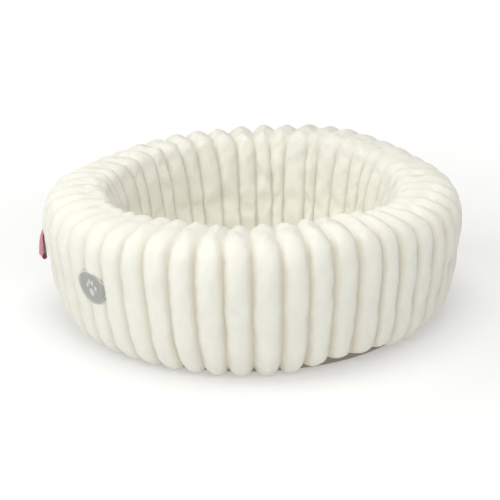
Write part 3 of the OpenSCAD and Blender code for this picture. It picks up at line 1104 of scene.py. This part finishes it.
def cloth_material(name, colour, pitch, sheen=0.1, roughness=0.85):
    """Plain woven cloth with slubs and slight colour variation."""
    m = Nodes(name)
    tone = m.ramp(m.noise(70, 4.0, 0.65), [(0.3, scaled(colour, 0.86)), (0.7, colour)])
    slub = m.noise(900, 2.0, 0.5)
    m.colour(m.mix(m.math("MULTIPLY", slub, 0.35), tone, scaled(colour, 0.72)))
    m.fixed(Roughness=roughness, Sheen_Weight=sheen, Sheen_Roughness=0.5,
            Specular_IOR_Level=0.25)
    height = m.math("ADD", m.weave(pitch), slub)
    m.bump(height, 0.45, 0.0003)
    return m.mat


def ribbon_material(name, colour):
    """Grosgrain: fine ribs across the ribbon, counted along its length."""
    m = Nodes(name)
    ribs = m.math("SINE", m.math("MULTIPLY", m.attribute("run"), TAU / (0.9 * MM)))
    # Painted highlight: the crests of the ribs, where the bump rises, get a lighter colour.
    crest_highlight = m.math("MULTIPLY_ADD", ribs, 0.5)
    tone = m.ramp(m.noise(120, 2.0), [(0.3, scaled(colour, 0.85)), (0.7, colour)])
    m.colour(m.mix(m.math("MULTIPLY", crest_highlight, 0.3), tone, scaled(colour, 1.25)))
    m.fixed(Roughness=0.5, Sheen_Weight=0.2, Sheen_Roughness=0.4, Specular_IOR_Level=0.4)
    m.bump(ribs, 0.5, 0.0002)
    return m.mat


def metal_material():
    """Brushed nickel with fine scratches and worn, duller patches."""
    m = Nodes("zip_nickel")
    wear = m.noise(260, 4.0, 0.7)
    m.colour(m.ramp(wear, [(0.3, (0.5, 0.49, 0.47)), (0.75, (0.68, 0.67, 0.65))]))
    rough = m.ramp(wear, [(0.3, (0.42, 0.42, 0.42)), (0.75, (0.24, 0.24, 0.24))])
    m.join(rough, m.shader.inputs["Roughness"])
    m.fixed(Metallic=1.0)
    m.bump(m.noise(2600, 2.0), 0.15, 0.0001)
    return m.mat


def thread_material(name, colour):
    """Twisted thread with a soft shine."""
    m = Nodes(name)
    m.colour(m.ramp(m.noise(1500, 2.0), [(0.3, scaled(colour, 0.85)), (0.7, colour)]))
    m.fixed(Roughness=0.55, Sheen_Weight=0.3, Specular_IOR_Level=0.35)
    m.bump(m.noise(3200, 2.0), 0.4, 0.0002)
    return m.mat


def foam_material():
    """Open-cell foam: small pits all over, with painted shade in the pits."""
    m = Nodes("foam")
    cells = m.node("ShaderNodeTexVoronoi", Scale=700.0)
    m.join(m.coords(), cells.inputs["Vector"])
    pits = cells.outputs["Distance"]
    # Painted shade: the colour darkens towards the bottom of each pit, where the bump sinks.
    m.colour(m.ramp(pits, [(0.05, (0.62, 0.58, 0.42)), (0.4, (0.86, 0.82, 0.66))]))
    m.fixed(Roughness=0.95, Specular_IOR_Level=0.15)
    m.bump(pits, 0.6, 0.0006)
    return m.mat


def rubber_material():
    """Soft printed rubber of the grip dots."""
    m = Nodes("grip_rubber")
    m.colour(m.ramp(m.noise(400, 3.0), [(0.3, (0.3, 0.27, 0.24)), (0.7, (0.38, 0.35, 0.31))]))
    m.fixed(Roughness=0.6, Specular_IOR_Level=0.35)
    m.bump(m.noise(1800, 2.0), 0.2, 0.0001)
    return m.mat


def floor_material():
    """Matt white paper with a painted glow that grows further out from the bed, so that it stays
    white.
    """
    m = Nodes("paper")
    m.colour(m.ramp(m.noise(3, 2.0), [(0.3, (0.63, 0.63, 0.63)), (0.7, (0.65, 0.65, 0.65))]))
    m.fixed(Roughness=1.0, Specular_IOR_Level=0.0, Emission_Color=(1, 1, 1, 1))
    away = m.node("ShaderNodeVectorMath")
    away.operation = "LENGTH"
    m.join(m.coords(), away.inputs[0])
    glow = m.node("ShaderNodeMapRange", From_Min=0.35, From_Max=1.5, To_Min=0.33, To_Max=0.8)
    m.join(away.outputs["Value"], glow.inputs["Value"])
    m.join(glow.outputs["Result"], m.shader.inputs["Emission Strength"])
    return m.mat


# ---- camera, light, floor
CAMERA_TARGET = Vector((0, 0, 80 * MM))
CAMERA_DISTANCE = 2.5
CAMERA_ELEVATION = math.radians(19.1)
CAMERA_ROLL = math.radians(-1.354)
CAMERA_LENS = 148.3


def build_camera():
    data = bpy.data.cameras.new("camera")
    camera = new_object("camera", data)
    back = Vector((0, -math.cos(CAMERA_ELEVATION), math.sin(CAMERA_ELEVATION)))
    camera.location = CAMERA_TARGET + CAMERA_DISTANCE * back
    facing = (-back).to_track_quat("-Z", "Y")
    camera.rotation_mode = "QUATERNION"
    camera.rotation_quaternion = facing @ Matrix.Rotation(CAMERA_ROLL, 4, "Z").to_quaternion()
    data.lens = CAMERA_LENS
    data.sensor_width = 36
    data.shift_x = -0.0065
    data.shift_y = -0.0018
    bpy.context.scene.camera = camera


WORLD_LIGHT = 0.2
LAMP_SIZE = 1.8
LAMP_AIM = Vector((0, 0, 80 * MM))
# Name, place, power and colour
LAMPS = (("left", (-2.4, -0.6, 1.6), 26, (0.97, 0.99, 1.0)),
         ("front", (0.1, -2.4, 2.0), 26, (1.0, 1.0, 1.0)),
         ("top", (0.0, -0.3, 2.8), 42, (1.0, 0.99, 0.96)))


def area_light(name, place, power, colour):
    data = bpy.data.lights.new(name, "AREA")
    data.shape = "SQUARE"
    data.size = LAMP_SIZE
    data.energy = power
    data.color = colour
    light = new_object(name, data)
    light.location = place
    light.rotation_euler = (LAMP_AIM - Vector(place)).to_track_quat("-Z", "Y").to_euler()


def build_studio():
    scene = bpy.context.scene
    scene.view_settings.view_transform = "Standard"
    world = bpy.data.worlds.new("studio")
    world.use_nodes = True
    tree = world.node_tree
    background = tree.nodes["Background"]
    background.inputs["Color"].default_value = (1, 1, 1, 1)
    seen = tree.nodes.new("ShaderNodeLightPath").outputs["Is Camera Ray"]
    strength = tree.nodes.new("ShaderNodeMapRange")
    strength.inputs["To Min"].default_value = WORLD_LIGHT
    strength.inputs["To Max"].default_value = 1.0
    tree.links.new(seen, strength.inputs["Value"])
    tree.links.new(strength.outputs["Result"], background.inputs["Strength"])
    scene.world = world
    for lamp in LAMPS:
        area_light(*lamp)
    floor = make_mesh("floor", [(-6, -6, 0), (6, -6, 0), (6, 6, 0), (-6, 6, 0)], [(0, 1, 2, 3)])
    floor.data.materials.append(floor_material())


# ---- assembly
IVORY = (0.84, 0.82, 0.75)
TAUPE = (0.5, 0.42, 0.35)
LABEL_GREY = (0.47, 0.47, 0.43)
THREAD_WHITE = (0.85, 0.85, 0.82)


def dress(obj, material, body, slot, *nodes):
    """Give a piece its material and the body it rides on, and hide the nodes it stands for; slot is
    not used.
    """
    if material is not None:
        obj.data.materials.clear()
        obj.data.materials.append(material)
    if body is not None:
        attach(obj, body)
    if nodes:
        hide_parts(*nodes)
    return obj


build_camera()
build_studio()

plush = plush_material()
taupe_cloth = cloth_material("taupe_oxford", TAUPE, 1.1 * MM)
lining_cloth = cloth_material("cream_lining", IVORY, 0.9 * MM)
tape_cloth = cloth_material("zip_tape_weave", scaled(TAUPE, 1.15), 0.6 * MM)
coil_nylon = thread_material("zip_nylon", scaled(TAUPE, 1.3))
nickel = metal_material()
light_thread = thread_material("light_thread", THREAD_WHITE)

wall = dress(build_wall(), plush, "bed", "plush", "wall_cover", "wall_liner", "wall_filling")

cushion_cover, cushion_underside = build_cushion()
dress(cushion_cover, plush, "seat_cushion", "plush", "cushion_top_cover", "cushion_filling")
dress(cushion_underside, taupe_cloth, "seat_cushion", "base_cloth", "cushion_bottom_cover")
dress(build_piping(), cloth_material("piping_cloth", IVORY, 0.8 * MM), "seat_cushion",
      "piping", "cushion_piping")

pan = dress(build_base_pan(), taupe_cloth, "bed", "base_cloth", "base_cloth")
dress(build_grip_dots(), rubber_material(), "bed", "base_cloth")
lining = dress(build_lining(), lining_cloth, "bed", "lining_cloth", "floor_lining")
tape, tape_stitches = build_binding()
dress(tape, cloth_material("binding_cloth", scaled(TAUPE, 0.9), 0.7 * MM), "bed", "binding",
      "seam_binding")
dress(tape_stitches, light_thread, "bed", "thread")
for name in ("tape_lower", "tape_upper"):
    node = "zip_" + name
    dress(build_zip_tape(name, *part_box(node)), tape_cloth, "bed", "zip_tape", node)
# Half a turn of the coil apart, so that the teeth of one side fit between the other's
for name, offset in (("coil_lower", 0.05), ("coil_upper", 0.55)):
    node = "zip_" + name
    dress(build_zip_coil(name, *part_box(node), offset), coil_nylon, "bed", "zip_coil", node)
dress(build_stops(), nickel, "bed", "zip_metal", "zip_end_stops")
dress(build_slider(), nickel, "slider", "zip_metal", "zip_slider")
dress(build_pull(), nickel, "pull", "zip_metal", "zip_pull")

patch, border, stitches = build_label()
dress(patch, cloth_material("label_satin", LABEL_GREY, 0.5 * MM, 0.3, 0.5), "bed",
      "label_cloth", "oval_label")
dress(border, light_thread, "bed", "thread")
dress(stitches, light_thread, "bed", "thread", "oval_label_stitches")

ribbon = dress(build_tag(), None, None, "ribbon", "side_tag", "side_tag_tab")
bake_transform(ribbon)
bartack = dress(build_bartack(), light_thread, "bed", "thread", "side_tag_bartack")

foam = bpy.data.objects["base_foam"].data
foam.materials.clear()
foam.materials.append(foam_material())
